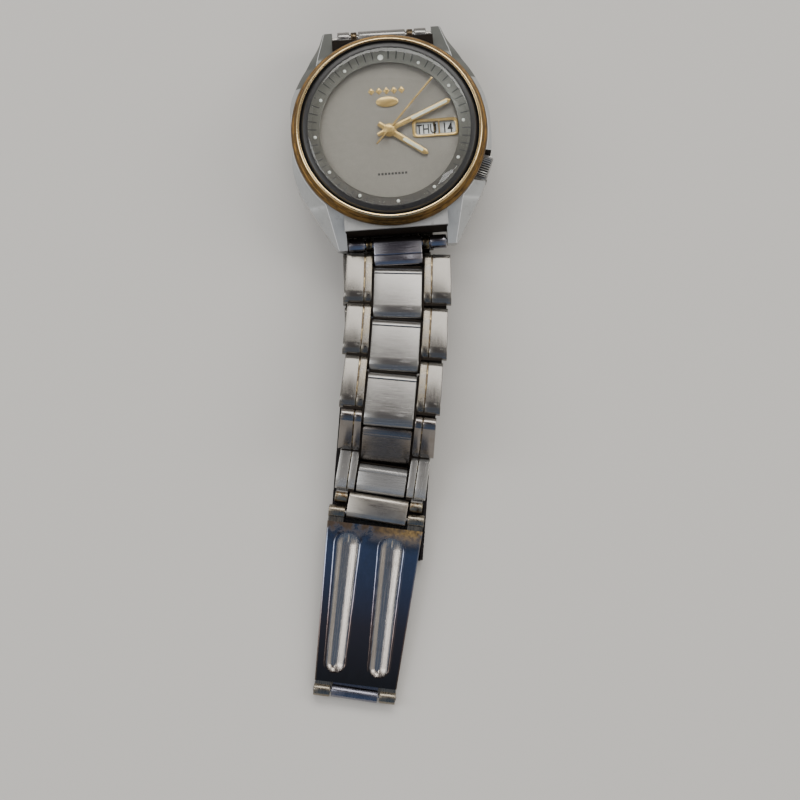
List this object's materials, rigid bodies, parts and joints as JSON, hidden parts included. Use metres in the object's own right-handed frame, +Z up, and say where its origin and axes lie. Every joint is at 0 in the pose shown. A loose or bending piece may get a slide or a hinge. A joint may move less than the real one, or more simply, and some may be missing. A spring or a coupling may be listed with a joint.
{
  "type": "wristwatch",
  "caption": "Analogue day-date wristwatch with a round gold-tone bezel, barrel-shaped steel case, two-tone folded-link bracelet and open three-fold clasp, lying dial up.",
  "frame": {"origin": "centre of the bottom of the whole watch's box, on the surface it lies on", "axes": "+Y towards 12 o'clock along the laid-out bracelet, +Z up out of the dial, +X towards 3 o'clock"},
  "size_m": [0.0372, 0.1224, 0.0158],
  "materials": {
    "brushed_steel": "fine brushed, worn",
    "polished_steel": "mirror polished, scratched",
    "pin_steel": "turned",
    "gold_plate": "polished, worn gold tone",
    "movement_brass": "satin",
    "movement_steel": "striped",
    "holder_plastic": "moulded",
    "seal_rubber": "matt",
    "crystal_glass": "clear, polished",
    "dial_paint": "satin warm grey",
    "ring_paint": "satin grey green",
    "disc_paint": "matt white"
  },
  "bodies": {
    "head": {"case_middle": "brushed_steel", "bezel": "gold_plate", "crystal": "crystal_glass", "crystal_gasket": "seal_rubber", "case_back": "brushed_steel", "case_back_gasket": "seal_rubber", "spring_bar_12": "pin_steel", "spring_bar_6": "pin_steel", "chapter_ring": "ring_paint", "dial": "dial_paint", "day_date_frame": "gold_plate", "emblem": "gold_plate", "movement_holder": "holder_plastic", "main_plate": "movement_brass", "train_bridge": "movement_steel"},
    "hour_hand": {"hour_hand": "gold_plate"},
    "minute_hand": {"minute_hand": "gold_plate", "centre_wheel": "movement_brass"},
    "second_hand": {"second_hand": "gold_plate"},
    "day_disc": {"day_disc": "disc_paint"},
    "date_disc": {"date_disc": "disc_paint"},
    "barrel": {"mainspring_barrel": "movement_brass"},
    "balance": {"balance_wheel": "movement_brass"},
    "rotor": {"rotor": "movement_steel"},
    "stem": {"winding_stem": "pin_steel"},
    "crown": {"crown": "gold_plate"},
    "front_end": {"front_end_link": "brushed_steel"},
    "connector": {"connector": "polished_steel"},
    "inner_blade": {"inner_blade": "polished_steel", "connector_pin": "pin_steel", "blade_hinge_pin": "pin_steel"},
    "middle_blade": {"middle_blade": "polished_steel"},
    "cover": {"clasp_cover": "polished_steel", "adjustment_spring_bar": "pin_steel"},
    "back_end": {"back_end_link": "brushed_steel"},
    "front_row_1": {"front_row_1_sides": "brushed_steel", "front_row_1_centre": "brushed_steel"},
    "front_row_2": {"front_row_2_sides": "brushed_steel", "front_row_2_centre": "brushed_steel"},
    "front_row_3": {"front_row_3_sides": "brushed_steel", "front_row_3_centre": "brushed_steel"},
    "front_row_4": {"front_row_4_sides": "brushed_steel", "front_row_4_centre": "brushed_steel"},
    "front_row_5": {"front_row_5_sides": "brushed_steel", "front_row_5_centre": "brushed_steel"},
    "back_row_1": {"back_row_1_sides": "brushed_steel", "back_row_1_centre": "brushed_steel"},
    "back_row_2": {"back_row_2_sides": "brushed_steel", "back_row_2_centre": "brushed_steel"},
    "back_row_3": {"back_row_3_sides": "brushed_steel", "back_row_3_centre": "brushed_steel"},
    "back_row_4": {"back_row_4_sides": "brushed_steel", "back_row_4_centre": "brushed_steel"},
    "back_row_5": {"back_row_5_sides": "brushed_steel", "back_row_5_centre": "brushed_steel"},
    "back_row_6": {"back_row_6_sides": "brushed_steel", "back_row_6_centre": "brushed_steel"}
  },
  "joints": [
    {"name": "minute_hand_turn", "type": "hinge", "parent": "head", "child": "minute_hand", "pos_m": [-0.00026, 0.04004, 0.01004], "axis": [0, 0, 1], "continuous": true},
    {"name": "hour_hand_turn", "type": "hinge", "parent": "head", "child": "hour_hand", "pos_m": [-0.00026, 0.04004, 0.01004], "axis": [0, 0, 1], "continuous": true},
    {"name": "second_hand_turn", "type": "hinge", "parent": "head", "child": "second_hand", "pos_m": [-0.00026, 0.04004, 0.01004], "axis": [0, 0, 1], "continuous": true},
    {"name": "date_disc_turn", "type": "hinge", "parent": "head", "child": "date_disc", "pos_m": [-0.00026, 0.04004, 0.01004], "axis": [0, 0, 1], "continuous": true},
    {"name": "day_disc_turn", "type": "hinge", "parent": "head", "child": "day_disc", "pos_m": [-0.00026, 0.04004, 0.01004], "axis": [0, 0, 1], "continuous": true},
    {"name": "rotor_turn", "type": "hinge", "parent": "head", "child": "rotor", "pos_m": [-0.00026, 0.04004, 0.01004], "axis": [0, 0, 1], "continuous": true},
    {"name": "barrel_turn", "type": "hinge", "parent": "head", "child": "barrel", "pos_m": [-0.00616, 0.04511, 0.01004], "axis": [0, 0, 1], "continuous": true},
    {"name": "balance_swing", "type": "hinge", "parent": "head", "child": "balance", "pos_m": [0.00613, 0.035, 0.01004], "axis": [0, 0, 1], "range_deg": [-135, 135]},
    {"name": "crown_pull", "type": "slide", "parent": "head", "child": "stem", "axis": [0.9444, -0.3289, 0], "range_m": [0, 0.0012]},
    {"name": "crown_turn", "type": "hinge", "parent": "stem", "child": "crown", "pos_m": [-0.00026, 0.04004, 0.00924], "axis": [0.9444, -0.3289, 0], "continuous": true},
    {"name": "front_end_hinge", "type": "hinge", "parent": "head", "child": "front_end", "pos_m": [0.00119, 0.02069, 0.00714], "axis": [0.9983, 0.0576, 0], "range_deg": [-12, 5]},
    {"name": "front_row_1_hinge", "type": "hinge", "parent": "front_end", "child": "front_row_1", "pos_m": [0.00137, 0.0176, 0.00714], "axis": [0.9998, -0.0209, 0], "range_deg": [-10, 8]},
    {"name": "front_row_2_hinge", "type": "hinge", "parent": "front_row_1", "child": "front_row_2", "pos_m": [0.00116, 0.00768, 0.00907], "axis": [0.998, -0.0628, 0], "range_deg": [-10, 8]},
    {"name": "front_row_3_hinge", "type": "hinge", "parent": "front_row_2", "child": "front_row_3", "pos_m": [0.00054, -0.00221, 0.01099], "axis": [0.9959, -0.0906, 0], "range_deg": [-10, 6]},
    {"name": "front_row_4_hinge", "type": "hinge", "parent": "front_row_3", "child": "front_row_4", "pos_m": [-0.00036, -0.01208, 0.01292], "axis": [0.9938, -0.1115, 0], "range_deg": [-65, 5]},
    {"name": "front_row_5_hinge", "type": "hinge", "parent": "front_row_4", "child": "front_row_5", "pos_m": [-0.00099, -0.0177, 0.00455], "axis": [0.9895, -0.1444, 0], "range_deg": [-10, 20]},
    {"name": "connector_hinge", "type": "hinge", "parent": "front_row_5", "child": "connector", "pos_m": [-0.00215, -0.02561, 0.00441], "axis": [0.9863, -0.165, 0], "range_deg": [-20, 0]},
    {"name": "inner_blade_hinge", "type": "hinge", "parent": "connector", "child": "inner_blade", "pos_m": [-0.00256, -0.02808, 0.00432], "axis": [0.9925, -0.1219, 0], "range_deg": [-25, 0]},
    {"name": "clasp_fold", "type": "hinge", "parent": "inner_blade", "child": "middle_blade", "pos_m": [-0.00638, -0.05921, 0.00141], "axis": [-0.989, 0.1478, 0], "range_deg": [0, 300]},
    {"name": "cover_fold", "type": "hinge", "parent": "middle_blade", "child": "cover", "pos_m": [-0.00261, -0.03399, 0.00186], "axis": [-0.9973, 0.0732, 0], "range_deg": [-151, 0]},
    {"name": "back_end_hinge", "type": "hinge", "parent": "head", "child": "back_end", "pos_m": [-0.00172, 0.05938, 0.00714], "axis": [-0.998, -0.0628, 0], "range_deg": [-100, 0]},
    {"name": "back_row_1_hinge", "type": "hinge", "parent": "back_end", "child": "back_row_1", "pos_m": [-0.0017, 0.05911, 0.00405], "axis": [-0.9993, -0.0384, 0], "range_deg": [-60, 0]},
    {"name": "back_row_2_hinge", "type": "hinge", "parent": "back_row_1", "child": "back_row_2", "pos_m": [-0.00133, 0.04942, 0.00125], "axis": [-0.9997, -0.0244, 0], "range_deg": [-25, 0]},
    {"name": "back_row_3_hinge", "type": "hinge", "parent": "back_row_2", "child": "back_row_3", "pos_m": [-0.00108, 0.03932, 0.00125], "axis": [-0.9998, -0.0175, 0], "range_deg": [-15, 0]},
    {"name": "back_row_4_hinge", "type": "hinge", "parent": "back_row_3", "child": "back_row_4", "pos_m": [-0.00091, 0.02922, 0.00125], "axis": [-0.9998, -0.0175, 0], "range_deg": [-15, 0]},
    {"name": "back_row_5_hinge", "type": "hinge", "parent": "back_row_4", "child": "back_row_5", "pos_m": [-0.00073, 0.01912, 0.00125], "axis": [-0.9998, -0.0175, 0], "range_deg": [-15, 0]},
    {"name": "back_row_6_hinge", "type": "hinge", "parent": "back_row_5", "child": "back_row_6", "pos_m": [-0.00056, 0.00902, 0.00125], "axis": [-0.9999, -0.014, 0], "range_deg": [-15, 0]}
  ],
  "couplings": [
    {"joint": "hour_hand_turn", "follows": "minute_hand_turn", "ratio": 0.083333},
    {"joint": "day_disc_turn", "follows": "minute_hand_turn", "ratio": 0.0059524},
    {"joint": "date_disc_turn", "follows": "minute_hand_turn", "ratio": 0.0013441},
    {"joint": "cover_fold", "follows": "clasp_fold", "ratio": -0.5}
  ]
}
